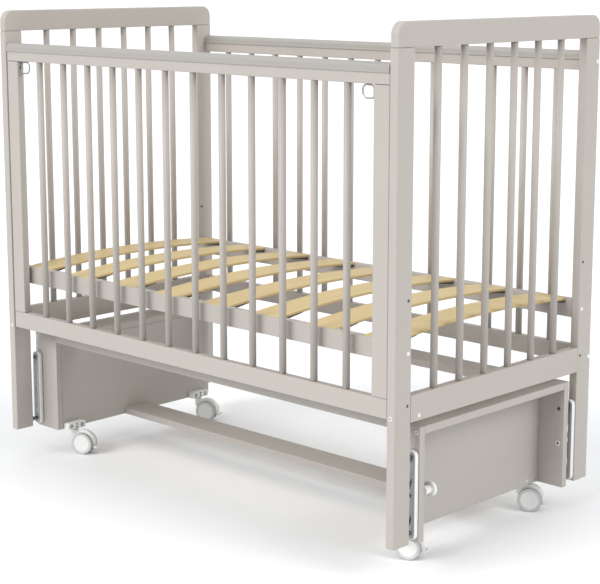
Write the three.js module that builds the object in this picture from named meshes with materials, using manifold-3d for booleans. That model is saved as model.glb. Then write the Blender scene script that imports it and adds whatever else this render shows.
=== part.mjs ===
// Pendulum crib: a child's bed that hangs on four steel links from a low stand on castors.
// Millimetres, +Z up, +X along the bed, the drop side at -Y.
// The origin is on the floor under the middle of the bed.
import * as THREE from "three";
import { mergeVertices } from "three/addons/utils/BufferGeometryUtils.js";
import Module from "manifold-3d";

const wasm = await Module();
wasm.setup();

// Clearances
const seat = 0.3; // between pieces that are glued, screwed or seated
const runningGap = 0.5; // all round a turning pin
const slidingGap = 2; // between the drop side and each post
const cutOverrun = 4; // how far a cut runs past the face that it opens

// Bed body
const bedLength = 1240;
const bedWidth = 660;
const legLift = 67; // floor to the bottom of the legs
const postThickness = 20;
const postWidth = 48;
const postHeight = 973;
const topBoardHeight = 48.5;
const topBoardCorner = 25;
const endRailHeight = 55;
const endRailLift = 248; // above the bottom of the legs
const endBarCount = 6;
const barDiameter = 15;
const barTenon = 12; // how far a bar goes into its rail

// Long sides
const sideThickness = 18;
const sideRailHeight = 40;
const sideLift = 260; // bottom of the lower rail above the bottom of the legs
const sideTopDrop = 29; // top of the posts to the top of the upper rail
const stileWidth = 40;
const dropBarCount = 12;
const dropBarInset = 114; // from the side's end to the first bar
const backBarCount = 13;
const backBarInset = 80.1; // from the side's end to the first bar
const railTopCorner = 5;

// Plastic covers on the upper rails
const capWall = 1.7;
const capHeight = 20;

// Grooves, guide pins and latches of the drop side
const dropTravel = 190;
const grooveWidth = 7;
const grooveDepth = 6;
const guidePinDiameter = 6;
const guidePinDepth = 18;
const pinTipGap = 0.5; // between a pin's end and the bottom of the groove
const latchDrop = 15; // below the upper rail
const latchRingWidth = 30;
const latchRingHeight = 28;
const latchRingCorner = 11;
const latchWire = 4;
const latchStandOff = 12; // ring to stile

// Bed base
const bedRailThickness = 20;
const bedRailHeight = 40;
const bedRailLift = 368; // above the bottom of the legs
const slatCount = 8;
const slatInset = 55.1; // from the base rail's end to the middle of the first slat
const slatWidth = 78;
const slatThickness = 6;
const slatCrown = 14;
const slatEndLip = 5; // wood left outside a slat's end
const baseLevelStep = 104; // between the base's fixing levels
const baseBoltDiameter = 7;

// Stand
const boardThickness = 16;
const standLift = 62; // floor to the bottom of the boards
const standHeight = 238;
const standBoxDepth = 82; // along the bed
const standSetback = 77; // from the bed's face to the stand's face
const standRailWidth = 73;
const stretcherWidth = 76;

// Links and their pivots
const linkWidth = 26;
const linkHeight = 183;
const linkDepth = 11.7;
const linkWall = 2;
const linkCorner = 11;
const linkInset = 14; // from the bed's end to the middle of the link
const pivotSpacing = 155;
const pivotDiameter = 8;
const pivotHeadDiameter = 14;
const pivotHeadHeight = 4;
const lowerPivotLift = 17; // above the bottom of the legs
const studDepth = 18; // into the post
const lockHoleLift = 77; // above the lower pivot
const lockPinDiameter = 8;

// Lock knob
const knobHeadDiameter = 32;
const knobHeadLength = 10;
const knobCollarDiameter = 18;
const knobCollarLength = 18;
const knobStandOff = 13; // board to collar
const knobPinSeat = 3; // length of pin left in the board

// Castors
const castorTurn = THREE.MathUtils.degToRad(25);
const castorInset = 10; // from the stand's inner face to the stem
const castorSideInset = 29; // from the stand's side board to the stem
const wheelDiameter = 54;
const wheelSegments = 24;
const wheelTrail = 25; // stem to axle
const wheelThickness = 10;
const wheelTreadRound = 2;
const wheelDish = 1.5; // depth of the dished outer face
const wheelDishDiameter = 41;
const axleDiameter = 6;
const hoodThickness = 14; // between the two wheels
const hoodGap = 1; // hood to each wheel
const hoodRise = 2.5; // larger in radius than the treads
const hoodLift = 3.5; // its centre above the axle
const stemDiameter = 10;
const stemLength = 12; // in the socket
const bossDiameter = 18;
const bossLength = 8;
const socketDepth = 17.5;
const socketWidth = 54;
const socketHeight = 17;
const socketCorner = 5;
const socketDrop = 1; // below the boards
const socketFloor = 3; // over the stem's hole
const socketScrewDiameter = 10;
const socketScrewSpread = 16.5;
const socketRecess = 3;
const socketSlotWidth = 4;
const socketSlotHeight = 10;
const brakeLug = 8; // the hood's lug that carries the brake
const brakePin = 3;
const brakeEye = 6;
const brakeCheek = 3;
const brakeLength = 9.5;
const brakeThickness = 3;
const brakeRadius = 30.5; // axle to the brake's pivot
const brakeAngle = THREE.MathUtils.degToRad(-14);
const hoodStartAngle = THREE.MathUtils.degToRad(-8);
const hoodEndAngle = THREE.MathUtils.degToRad(128);
// Outline of the hood below its round top, from the axle, as shares of the wheel's radius
const hoodOutlineShares = [
  [-1.22, 1.16],
  [-1.22, 0.5],
  [-0.4, -0.36],
  [0.4, -0.4],
  [1, -0.1],
];

// Places worked out from the sizes
const endFace = bedLength / 2;
const endInnerFace = endFace - postThickness;
const endMiddle = endFace - postThickness / 2;
const sideFace = bedWidth / 2;
const postInnerFace = sideFace - postWidth;
const postTop = legLift + postHeight;
const topBoardBottom = postTop + seat;
const endRailBottom = legLift + endRailLift;
const railSetback = capWall + seat;
const railOuterFace = sideFace - railSetback;
const railInnerFace = railOuterFace - sideThickness;
const railMiddle = railOuterFace - sideThickness / 2;
const sideBottom = legLift + sideLift;
const sideTop = postTop - sideTopDrop;
const upperRailBottom = sideTop - sideRailHeight;
const lowerRailTop = sideBottom + sideRailHeight;
const latchHeight = upperRailBottom - latchDrop;
const guideHeight = sideBottom + sideRailHeight / 2 + dropTravel;
const bedRailOuterFace = postInnerFace + bedRailThickness;
const bedRailMiddle = postInnerFace + bedRailThickness / 2;
const bedRailBottom = legLift + bedRailLift;
const bedRailTop = bedRailBottom + bedRailHeight;
const slatEnd = bedRailOuterFace - slatEndLip;
const standInnerFace = endFace - standBoxDepth;
const standOuterSide = sideFace - standSetback;
const standInnerSide = standOuterSide - boardThickness;
const castorSpread = standInnerSide - castorSideInset;
const standTop = standLift + standHeight;
const standTopBoard = standTop - boardThickness;
const linkX = endFace - linkInset;
const lowerPivotHeight = legLift + lowerPivotLift;
const upperPivotHeight = lowerPivotHeight + pivotSpacing;
const lockHeight = lowerPivotHeight + lockHoleLift;
const linkBottom = lowerPivotHeight - (linkHeight - pivotSpacing) / 2;
const pivotHole = pivotDiameter + runningGap * 2;
const wheelRadius = wheelDiameter / 2;
const axleHeight = wheelRadius * Math.cos(Math.PI / wheelSegments);
const socketBottom = standLift - socketDrop;
const wheelInnerY = hoodThickness / 2 + hoodGap;
const wheelOuterY = wheelInnerY + wheelThickness;

// Finishes
const paint = new THREE.MeshStandardMaterial({ color: 0xd2cac4, roughness: 0.45 });
const birch = new THREE.MeshStandardMaterial({ color: 0xe0c795, roughness: 0.55 });
const coverPlastic = new THREE.MeshStandardMaterial({ color: 0xc8c7c2, roughness: 0.35 });
const whitePlastic = new THREE.MeshStandardMaterial({ color: 0xe6e6e4, roughness: 0.35 });
const whiteSteel = new THREE.MeshStandardMaterial({ color: 0xf2f2f0, roughness: 0.4, metalness: 0.1 });
const zincSteel = new THREE.MeshStandardMaterial({ color: 0xa6a7a6, roughness: 0.35, metalness: 0.9 });

// Axis frames: where an outline's two axes and its thickness go
const frames = {
  x: new THREE.Matrix4().makeBasis(
    new THREE.Vector3(0, 1, 0),
    new THREE.Vector3(0, 0, 1),
    new THREE.Vector3(1, 0, 0),
  ),
  y: new THREE.Matrix4().makeBasis(
    new THREE.Vector3(1, 0, 0),
    new THREE.Vector3(0, 0, 1),
    new THREE.Vector3(0, -1, 0),
  ),
  z: new THREE.Matrix4(),
};
const coarse = 4; // steps of a small corner, and half those of a thin pin or a hole
const round = 6; // half the steps of a wooden bar

// An outline given thickness along one axis, between two places on that axis
function slab(outline, axis, from, to, steps = coarse) {
  const low = Math.min(from, to);
  const high = Math.max(from, to);
  const geometry = new THREE.ExtrudeGeometry(outline, {
    depth: high - low,
    bevelEnabled: false,
    curveSegments: steps,
  });
  geometry.translate(0, 0, axis === "y" ? -high : low);
  return geometry.applyMatrix4(frames[axis]);
}

function rectangle(left, right, bottom, top) {
  const shape = new THREE.Shape();
  shape.moveTo(left, bottom);
  shape.lineTo(right, bottom);
  shape.lineTo(right, top);
  shape.lineTo(left, top);
  shape.closePath();
  return shape;
}

function roundedRectangle(left, right, bottom, top, lowerRadius, upperRadius) {
  const shape = new THREE.Shape();
  shape.moveTo(left + lowerRadius, bottom);
  shape.lineTo(right - lowerRadius, bottom);
  if (lowerRadius > 0)
    shape.absarc(right - lowerRadius, bottom + lowerRadius, lowerRadius, -Math.PI / 2, 0);
  shape.lineTo(right, top - upperRadius);
  shape.absarc(right - upperRadius, top - upperRadius, upperRadius, 0, Math.PI / 2);
  shape.lineTo(left + upperRadius, top);
  shape.absarc(left + upperRadius, top - upperRadius, upperRadius, Math.PI / 2, Math.PI);
  shape.lineTo(left, bottom + lowerRadius);
  if (lowerRadius > 0)
    shape.absarc(left + lowerRadius, bottom + lowerRadius, lowerRadius, Math.PI, Math.PI * 1.5);
  return shape;
}

function circle(across, up, diameter) {
  return new THREE.Shape().absarc(across, up, diameter / 2, 0, Math.PI * 2);
}

// A box between two corners
function board(x0, x1, y0, y1, z0, z1) {
  return slab(rectangle(Math.min(x0, x1), Math.max(x0, x1), Math.min(y0, y1), Math.max(y0, y1)), "z", z0, z1);
}

// A round bar along one axis
function bar(diameter, axis, across, up, from, to, steps = coarse) {
  return slab(circle(across, up, diameter), axis, from, to, steps);
}

// Joins and cuts
function solidOf(geometry) {
  const bare = geometry.clone();
  bare.deleteAttribute("normal");
  bare.deleteAttribute("uv");
  const merged = mergeVertices(bare);
  const mesh = new wasm.Mesh({
    numProp: 3,
    vertProperties: merged.attributes.position.array,
    triVerts: new Uint32Array(merged.index.array),
  });
  mesh.merge();
  return new wasm.Manifold(mesh);
}

function geometryOf(solid) {
  const mesh = solid.getMesh();
  const geometry = new THREE.BufferGeometry();
  geometry.setAttribute("position", new THREE.BufferAttribute(mesh.vertProperties, mesh.numProp));
  geometry.setIndex(new THREE.BufferAttribute(mesh.triVerts, 1));
  const flat = geometry.toNonIndexed();
  flat.computeVertexNormals();
  return flat;
}

function joined(pieces) {
  return geometryOf(pieces.map(solidOf).reduce((whole, piece) => whole.add(piece)));
}

function cut(body, tools) {
  return geometryOf(tools.map(solidOf).reduce((whole, tool) => whole.subtract(tool), solidOf(body)));
}

function add(group, name, geometry, material) {
  const mesh = new THREE.Mesh(geometry, material);
  mesh.name = name;
  group.add(mesh);
}

const crib = new THREE.Group();
const ends = [
  { name: "left", side: -1 },
  { name: "right", side: 1 },
];
const sides = [
  { name: "front", side: -1 },
  { name: "back", side: 1 },
];

// The places of a number of bars, about the middle, with a first and a last place
function spread(count, farthest) {
  return Array.from({ length: count }, (_, index) => ((index * 2) / (count - 1) - 1) * farthest);
}

// End posts: a hole for each unused level of the base, a blind hole for the link's stud,
// and in the front posts a groove for the drop side's pins
function post(endSide, longSide) {
  const inner = endSide * endInnerFace;
  const outer = endSide * endFace;
  const tools = [-1, 1].map((level) =>
    bar(
      baseBoltDiameter,
      "x",
      longSide * bedRailMiddle,
      bedRailBottom + bedRailHeight / 2 + level * baseLevelStep,
      inner - endSide * cutOverrun,
      outer + endSide * cutOverrun,
    ),
  );
  tools.push(
    bar(
      pivotHole,
      "y",
      endSide * linkX,
      lowerPivotHeight,
      longSide * (postInnerFace - cutOverrun),
      longSide * (postInnerFace + studDepth + pinTipGap),
    ),
  );
  if (longSide < 0)
    tools.push(
      board(
        inner - endSide * cutOverrun,
        inner + endSide * grooveDepth,
        longSide * (railMiddle - grooveWidth / 2),
        longSide * (railMiddle + grooveWidth / 2),
        guideHeight - dropTravel - grooveWidth,
        latchHeight + grooveWidth,
      ),
    );
  const blank = board(inner, outer, longSide * postInnerFace, longSide * sideFace, legLift, postTop);
  return cut(blank, tools);
}

// End frame: a top board with rounded corners, a bottom rail and round bars between them
function endFrame(endSide) {
  const inner = endSide * endInnerFace;
  const outer = endSide * endFace;
  const topBoardTop = topBoardBottom + topBoardHeight;
  const outline = roundedRectangle(-sideFace, sideFace, topBoardBottom, topBoardTop, 0, topBoardCorner);
  const railEnd = postInnerFace - seat;
  const endRailTop = endRailBottom + endRailHeight;
  const gap = (postInnerFace * 2) / (endBarCount + 1);
  const bars = spread(endBarCount, postInnerFace - gap).map((place) =>
    slab(
      circle(endSide * endMiddle, place, barDiameter),
      "z",
      endRailTop - barTenon,
      topBoardBottom + barTenon,
      round,
    ),
  );
  return joined([
    slab(outline, "x", inner, outer),
    board(inner, outer, -railEnd, railEnd, endRailBottom, endRailTop),
    ...bars,
  ]);
}

for (const end of ends) {
  for (const long of sides) add(crib, `post_${long.name}_${end.name}`, post(end.side, long.side), paint);
  add(crib, `end_frame_${end.name}`, endFrame(end.side), paint);
}

// A long side's rails and bars, glued up
function sidePanel(longSide, halfLength, bars) {
  const outline = roundedRectangle(
    Math.min(longSide * railInnerFace, longSide * railOuterFace),
    Math.max(longSide * railInnerFace, longSide * railOuterFace),
    upperRailBottom,
    sideTop,
    0,
    railTopCorner,
  );
  return [
    slab(outline, "x", -halfLength, halfLength),
    board(
      -halfLength,
      halfLength,
      longSide * railInnerFace,
      longSide * railOuterFace,
      sideBottom,
      lowerRailTop,
    ),
    ...bars.map((place) =>
      slab(
        circle(place, longSide * railMiddle, barDiameter),
        "z",
        lowerRailTop - barTenon,
        upperRailBottom + barTenon,
        round,
      ),
    ),
  ];
}

// The plastic cover on an upper rail: an open channel with rounded shoulders
function cover(longSide, halfLength) {
  const left = Math.min(longSide * railInnerFace, longSide * railOuterFace) - seat;
  const right = Math.max(longSide * railInnerFace, longSide * railOuterFace) + seat;
  const hollowTop = sideTop + seat;
  const hollowCorner = railTopCorner + seat;
  const top = hollowTop + capWall;
  const skirt = top - capHeight;
  const outer = roundedRectangle(left - capWall, right + capWall, skirt, top, 0, hollowCorner + capWall);
  const hollow = roundedRectangle(left, right, skirt - cutOverrun, hollowTop, 0, hollowCorner);
  return cut(slab(outer, "x", -halfLength, halfLength), [
    slab(hollow, "x", -halfLength - cutOverrun, halfLength + cutOverrun),
  ]);
}

// Fixed back side
const backHalf = endInnerFace - seat;
add(crib, "back_side", joined(sidePanel(1, backHalf, spread(backBarCount, backHalf - backBarInset))), paint);
add(crib, "back_side_cap", cover(1, backHalf), coverPlastic);

// Drop side: the back's panel with two stiles, bored for the latch pins and the guide pins
const dropHalf = endInnerFace - slidingGap;
const stileInner = dropHalf - stileWidth;
const pinTip = endInnerFace + grooveDepth - pinTipGap;

function dropSide() {
  const stiles = ends.map((end) =>
    board(
      end.side * stileInner,
      end.side * dropHalf,
      -railInnerFace,
      -railOuterFace,
      lowerRailTop - barTenon,
      upperRailBottom + barTenon,
    ),
  );
  const bores = ends.flatMap((end) => [
    bar(
      latchWire + runningGap * 2,
      "x",
      -railMiddle,
      latchHeight,
      end.side * (stileInner - cutOverrun),
      end.side * (dropHalf + cutOverrun),
    ),
    bar(
      guidePinDiameter + seat * 2,
      "x",
      -railMiddle,
      guideHeight,
      end.side * (dropHalf - guidePinDepth - seat),
      end.side * (dropHalf + cutOverrun),
    ),
  ]);
  const panel = sidePanel(-1, dropHalf, spread(dropBarCount, dropHalf - dropBarInset));
  return cut(joined([...panel, ...stiles]), bores);
}

add(crib, "drop_side", dropSide(), paint);
add(crib, "drop_side_cap", cover(-1, dropHalf), coverPlastic);
for (const end of ends)
  add(
    crib,
    `guide_pin_${end.name}`,
    bar(
      guidePinDiameter,
      "x",
      -railMiddle,
      guideHeight,
      end.side * (dropHalf - guidePinDepth),
      end.side * pinTip,
    ),
    zincSteel,
  );

// A closed ring of wire that follows a flat outline in X and Z, at one Y
function wireRing(outline, y, diameter, steps, sidesRound) {
  const points = outline.extractPoints(steps).shape;
  const ring = points.filter(
    (point, index) => index === 0 || point.distanceTo(points[0]) > diameter / points.length,
  );
  const positions = [];
  const faces = [];
  ring.forEach((point, index) => {
    const before = ring[(index + ring.length - 1) % ring.length];
    const after = ring[(index + 1) % ring.length];
    const outward = new THREE.Vector2(after.y - before.y, before.x - after.x).normalize();
    for (let turn = 0; turn < sidesRound; turn++) {
      const angle = (turn / sidesRound) * Math.PI * 2;
      const out = (Math.cos(angle) * diameter) / 2;
      positions.push(
        point.x + outward.x * out,
        y + (Math.sin(angle) * diameter) / 2,
        point.y + outward.y * out,
      );
      const next = ((index + 1) % ring.length) * sidesRound;
      const here = index * sidesRound;
      const turned = (turn + 1) % sidesRound;
      faces.push(here + turn, here + turned, next + turned, here + turn, next + turned, next + turn);
    }
  });
  const geometry = new THREE.BufferGeometry();
  geometry.setAttribute("position", new THREE.Float32BufferAttribute(positions, 3));
  geometry.setIndex(faces);
  return geometry;
}

// Latches: a wire pull ring with a pin through the stile into the post's groove
const ringOuter = stileInner - latchStandOff - latchWire / 2;
const ringInner = ringOuter - latchRingWidth + latchWire;
const ringHalfHeight = (latchRingHeight - latchWire) / 2;
for (const end of ends) {
  const outline = roundedRectangle(
    Math.min(end.side * ringInner, end.side * ringOuter),
    Math.max(end.side * ringInner, end.side * ringOuter),
    latchHeight - ringHalfHeight,
    latchHeight + ringHalfHeight,
    latchRingCorner,
    latchRingCorner,
  );
  const ring = wireRing(outline, -railMiddle, latchWire, coarse, round);
  const pin = bar(latchWire, "x", -railMiddle, latchHeight, end.side * ringOuter, end.side * pinTip);
  add(crib, `latch_${end.name}`, joined([ring, pin]), zincSteel);
}

// Bed base: two rails with a pocket for each slat's end, and arched slats
const bedRailEnd = endInnerFace - seat;
const slatPlaces = spread(slatCount, bedRailEnd - slatInset);
for (const long of sides) {
  const pockets = slatPlaces.map((place) =>
    board(
      place - slatWidth / 2 - seat,
      place + slatWidth / 2 + seat,
      long.side * (postInnerFace - cutOverrun),
      long.side * (slatEnd + seat),
      bedRailTop - slatThickness - seat,
      bedRailTop + cutOverrun,
    ),
  );
  const rail = board(
    -bedRailEnd,
    bedRailEnd,
    long.side * postInnerFace,
    long.side * bedRailOuterFace,
    bedRailBottom,
    bedRailTop,
  );
  add(crib, `bed_rail_${long.name}`, cut(rail, pockets), paint);
}

const archRadius = (slatEnd ** 2 + slatCrown ** 2) / (slatCrown * 2);
const archCentre = bedRailTop + slatCrown - archRadius;
const archAngle = Math.asin(slatEnd / archRadius);
const slatOutline = new THREE.Shape();
slatOutline.absarc(0, archCentre, archRadius, Math.PI / 2 - archAngle, Math.PI / 2 + archAngle);
slatOutline.absarc(
  0,
  archCentre - slatThickness,
  archRadius,
  Math.PI / 2 + archAngle,
  Math.PI / 2 - archAngle,
  true,
);
slatPlaces.forEach((place, index) =>
  add(
    crib,
    `slat_${index + 1}`,
    slab(slatOutline, "x", place - slatWidth / 2, place + slatWidth / 2, round),
    birch,
  ),
);

// Stand: an open box of boards at each end, tied by two upper rails and a stretcher
for (const end of ends) {
  const inner = end.side * standInnerFace;
  const outer = end.side * endFace;
  for (const long of sides) {
    const holes = [upperPivotHeight, lockHeight].map((height) =>
      bar(
        pivotHole,
        "y",
        end.side * linkX,
        height,
        long.side * (standInnerSide - cutOverrun),
        long.side * (standOuterSide + cutOverrun),
      ),
    );
    const blank = board(
      inner,
      outer,
      long.side * standInnerSide,
      long.side * standOuterSide,
      standLift,
      standTop,
    );
    add(crib, `stand_board_${long.name}_${end.name}`, cut(blank, holes), paint);
  }
  const across = standInnerSide - seat;
  add(
    crib,
    `stand_panel_${end.name}`,
    board(inner, inner + end.side * boardThickness, -across, across, standLift, standTopBoard - seat),
    paint,
  );
  add(crib, `stand_top_${end.name}`, board(inner, outer, -across, across, standTopBoard, standTop), paint);
}
const tieEnd = standInnerFace - seat;
for (const long of sides)
  add(
    crib,
    `stand_rail_${long.name}`,
    board(
      -tieEnd,
      tieEnd,
      long.side * (standOuterSide - standRailWidth),
      long.side * standOuterSide,
      standTopBoard,
      standTop,
    ),
    paint,
  );
add(
  crib,
  "stand_stretcher",
  board(
    -tieEnd,
    tieEnd,
    -stretcherWidth / 2,
    stretcherWidth / 2,
    standLift,
    standLift + boardThickness,
  ),
  paint,
);

// Links: a pressed steel pan with its closed face towards the front.
// The front links hang beside the boards and the back ones beside the posts.
const frontWeb = -standOuterSide - seat - linkDepth;
const backWeb = postInnerFace - seat - linkDepth;

function link(endSide, longSide) {
  const x = endSide * linkX;
  const web = longSide < 0 ? frontWeb : backWeb;
  const half = linkWidth / 2;
  const linkTop = linkBottom + linkHeight;
  const pan = slab(
    roundedRectangle(x - half, x + half, linkBottom, linkTop, linkCorner, linkCorner),
    "y",
    web,
    web + linkDepth,
  );
  const hollow = slab(
    roundedRectangle(
      x - half + linkWall,
      x + half - linkWall,
      linkBottom + linkWall,
      linkTop - linkWall,
      linkCorner - linkWall,
      linkCorner - linkWall,
    ),
    "y",
    web + linkWall,
    web + linkDepth + cutOverrun,
  );
  const holes = [upperPivotHeight, lockHeight].map((height) =>
    bar(pivotHole, "y", x, height, web - cutOverrun, web + linkDepth),
  );
  const body = cut(pan, [hollow, ...holes]);
  const postFace = longSide * postInnerFace;
  const studEnd = postFace + longSide * studDepth;
  const shoulderEnd = postFace - longSide * seat;
  const shoulderStart = web + linkWall / 2;
  return joined([
    body,
    bar(pivotHeadDiameter, "y", x, lowerPivotHeight, shoulderStart, shoulderEnd),
    bar(pivotDiameter, "y", x, lowerPivotHeight, shoulderStart, studEnd),
  ]);
}

// Upper pivot bolts: through the board and the link's web, with a head on the web.
// The back ones also carry a spacer that fills the way from the board to the link.
function pivotBolt(endSide, longSide) {
  const x = endSide * linkX;
  const boardEnd = longSide * (standInnerSide + seat);
  if (longSide < 0) {
    const head = frontWeb - seat;
    return joined([
      bar(pivotDiameter, "y", x, upperPivotHeight, head - pivotHeadHeight / 2, boardEnd),
      bar(pivotHeadDiameter, "y", x, upperPivotHeight, head - pivotHeadHeight, head),
    ]);
  }
  const head = backWeb + linkWall + seat;
  return joined([
    bar(pivotDiameter, "y", x, upperPivotHeight, boardEnd, head + pivotHeadHeight / 2),
    bar(pivotHeadDiameter, "y", x, upperPivotHeight, standOuterSide + seat, backWeb - seat),
    bar(pivotHeadDiameter, "y", x, upperPivotHeight, head, head + pivotHeadHeight),
  ]);
}

for (const end of ends)
  for (const long of sides) {
    const place = `${long.name}_${end.name}`;
    add(crib, `link_${place}`, link(end.side, long.side), whiteSteel);
    add(crib, `pivot_bolt_${place}`, pivotBolt(end.side, long.side), zincSteel);
  }

// Lock knob: a pin in the right front board's lock hole, with a collar and a round head
const knobPinTip = -standInnerSide - knobPinSeat;
const knobCollar = -standInnerSide + knobStandOff;
const knobHead = knobCollar + knobCollarLength;
add(
  crib,
  "lock_knob",
  joined([
    bar(lockPinDiameter, "y", linkX, lockHeight, knobPinTip, knobHead),
    bar(knobCollarDiameter, "y", linkX, lockHeight, knobCollar, knobHead + seat, round * 2),
    bar(knobHeadDiameter, "y", linkX, lockHeight, knobHead, knobHead + knobHeadLength, round * 2),
  ]),
  whitePlastic,
);

// Castor socket: a moulded block on the stand's inner face, with a bore for the stem
function castorSocket(endSide, longSide) {
  const back = endSide * (standInnerFace - seat);
  const face = back - endSide * socketDepth;
  const y = longSide * castorSpread;
  const top = socketBottom + socketHeight;
  const middle = socketBottom + socketHeight / 2;
  const blank = slab(
    roundedRectangle(y - socketWidth / 2, y + socketWidth / 2, socketBottom, top, 0, socketCorner),
    "x",
    back,
    face,
  );
  const recessEnd = face + endSide * socketRecess;
  const recessStart = face - endSide * cutOverrun;
  const tools = [-1, 1].map((side) =>
    bar(socketScrewDiameter, "x", y + side * socketScrewSpread, middle, recessStart, recessEnd),
  );
  tools.push(
    board(
      recessStart,
      recessEnd,
      y - socketSlotWidth / 2,
      y + socketSlotWidth / 2,
      middle - socketSlotHeight / 2,
      middle + socketSlotHeight / 2,
    ),
  );
  tools.push(
    bar(
      stemDiameter + runningGap * 2,
      "z",
      endSide * (standInnerFace - castorInset),
      y,
      socketBottom - cutOverrun,
      top - socketFloor,
    ),
  );
  return cut(blank, tools);
}

// Castor hood: the stem, its boss, the body between the wheels and a lug for the brake
function castorHood() {
  const bossTop = socketBottom - runningGap;
  const half = hoodThickness / 2;
  const body = new THREE.Shape();
  const crown = axleHeight + hoodLift;
  body.absarc(wheelTrail, crown, wheelRadius + hoodRise, hoodStartAngle, hoodEndAngle);
  hoodOutlineShares.forEach(([x, z]) =>
    body.lineTo(wheelTrail + x * wheelRadius, axleHeight + z * wheelRadius),
  );
  body.closePath();
  const pivotX = wheelTrail + brakeRadius * Math.cos(brakeAngle);
  const pivotZ = axleHeight + brakeRadius * Math.sin(brakeAngle);
  const offsetX = (Math.sin(brakeAngle) * brakeLug) / 2;
  const offsetZ = (Math.cos(brakeAngle) * brakeLug) / 2;
  const arm = new THREE.Shape();
  arm.moveTo(wheelTrail - offsetX, axleHeight + offsetZ);
  arm.lineTo(wheelTrail + offsetX, axleHeight - offsetZ);
  arm.lineTo(pivotX + offsetX, pivotZ - offsetZ);
  arm.lineTo(pivotX - offsetX, pivotZ + offsetZ);
  arm.closePath();
  const hood = joined([
    bar(stemDiameter, "z", 0, 0, bossTop - bossLength / 2, bossTop + stemLength),
    bar(bossDiameter, "z", 0, 0, bossTop - bossLength, bossTop),
    slab(body, "y", -half, half, round),
    slab(arm, "y", -half, half),
    bar(brakeLug, "y", pivotX, pivotZ, -half, half),
  ]);
  return cut(hood, [
    bar(axleDiameter + runningGap * 2, "y", wheelTrail, axleHeight, -hoodThickness, hoodThickness),
    bar(brakePin + runningGap * 2, "y", pivotX, pivotZ, -hoodThickness, hoodThickness),
  ]);
}

// Twin wheel: two dished discs on one axle, turned in one outline
function castorWheel() {
  const treadEdge = wheelRadius - wheelTreadRound;
  const half = [
    [0, wheelOuterY - wheelDish],
    [wheelDishDiameter / 2 - wheelDish, wheelOuterY - wheelDish],
    [wheelDishDiameter / 2, wheelOuterY],
    [treadEdge, wheelOuterY],
    [wheelRadius, wheelOuterY - wheelTreadRound],
    [wheelRadius, wheelInnerY + wheelTreadRound],
    [treadEdge, wheelInnerY],
    [axleDiameter / 2, wheelInnerY],
  ];
  const lower = half.map(([radius, y]) => new THREE.Vector2(radius, -y));
  const upper = half.map(([radius, y]) => new THREE.Vector2(radius, y)).reverse();
  const geometry = new THREE.LatheGeometry([...lower, ...upper], wheelSegments, Math.PI / wheelSegments);
  return geometryOf(solidOf(geometry.translate(wheelTrail, 0, axleHeight)));
}

// Brake: two cheeks on a pin through the hood's lug, and the foot plate between them
function castorBrake() {
  const pivotX = wheelTrail + brakeRadius * Math.cos(brakeAngle);
  const pivotZ = axleHeight + brakeRadius * Math.sin(brakeAngle);
  const inner = hoodThickness / 2 + runningGap;
  const outer = inner + brakeCheek;
  const plateStart = pivotX + brakeLug / 2 + runningGap * 2;
  const plateEnd = pivotX + brakeLength;
  const lower = pivotZ - brakeThickness / 2;
  const upper = pivotZ + brakeThickness / 2;
  const cheeks = [-1, 1].flatMap((side) => [
    bar(brakeEye, "y", pivotX, pivotZ, side * inner, side * outer),
    board(pivotX, plateEnd, side * inner, side * outer, lower, upper),
  ]);
  return joined([
    bar(brakePin, "y", pivotX, pivotZ, -outer, outer),
    board(plateStart, plateEnd, -outer, outer, lower, upper),
    ...cheeks,
  ]);
}

for (const end of ends)
  for (const long of sides) {
    const place = `${long.name}_${end.name}`;
    add(crib, `castor_socket_${place}`, castorSocket(end.side, long.side), whitePlastic);
    const castor = new THREE.Group();
    castor.position.set(end.side * (standInnerFace - castorInset), long.side * castorSpread, 0);
    castor.rotation.z = castorTurn;
    add(castor, `castor_hood_${place}`, castorHood(), whitePlastic);
    add(castor, `castor_wheel_${place}`, castorWheel(), whitePlastic);
    add(castor, `castor_brake_${place}`, castorBrake(), whitePlastic);
    crib.add(castor);
  }

export default crib;
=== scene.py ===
import math

import bmesh
import bpy
from mathutils import Matrix, Vector


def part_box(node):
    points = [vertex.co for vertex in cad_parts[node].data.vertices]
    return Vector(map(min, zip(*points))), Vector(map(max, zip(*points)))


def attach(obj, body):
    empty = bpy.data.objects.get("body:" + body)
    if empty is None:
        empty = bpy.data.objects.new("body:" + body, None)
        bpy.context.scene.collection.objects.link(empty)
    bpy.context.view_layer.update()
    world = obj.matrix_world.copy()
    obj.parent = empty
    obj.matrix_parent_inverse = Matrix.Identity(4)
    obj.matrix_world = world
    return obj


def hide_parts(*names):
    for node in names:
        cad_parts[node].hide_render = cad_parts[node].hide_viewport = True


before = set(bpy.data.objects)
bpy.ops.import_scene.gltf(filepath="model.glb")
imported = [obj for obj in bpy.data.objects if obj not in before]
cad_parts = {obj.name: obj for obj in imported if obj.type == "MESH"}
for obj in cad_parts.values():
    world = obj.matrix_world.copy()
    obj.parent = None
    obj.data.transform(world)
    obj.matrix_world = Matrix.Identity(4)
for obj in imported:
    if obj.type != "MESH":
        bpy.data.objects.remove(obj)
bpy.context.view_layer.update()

# Studio: the photographed view of the crib, from its right front, on a white sweep.
# Two broad lamps light the long side from its front and left, one lights the right end,
# and one overhead leaves the soft shadow under the bed. Shiny pieces mirror a white room.
camera = bpy.data.objects.new("camera", bpy.data.cameras.new("camera"))
bpy.context.scene.collection.objects.link(camera)
camera.location = (2.575, -2.6151, 1.1796)
camera.rotation_euler = (math.radians(90 - 10.197), 0, math.radians(44.008))
camera.data.lens = 97.0
camera.data.sensor_width = 36
camera.data.shift_y = -0.05
camera.data.clip_end = 200
bpy.context.scene.camera = camera
bpy.context.scene.view_settings.view_transform = "Standard"

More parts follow.
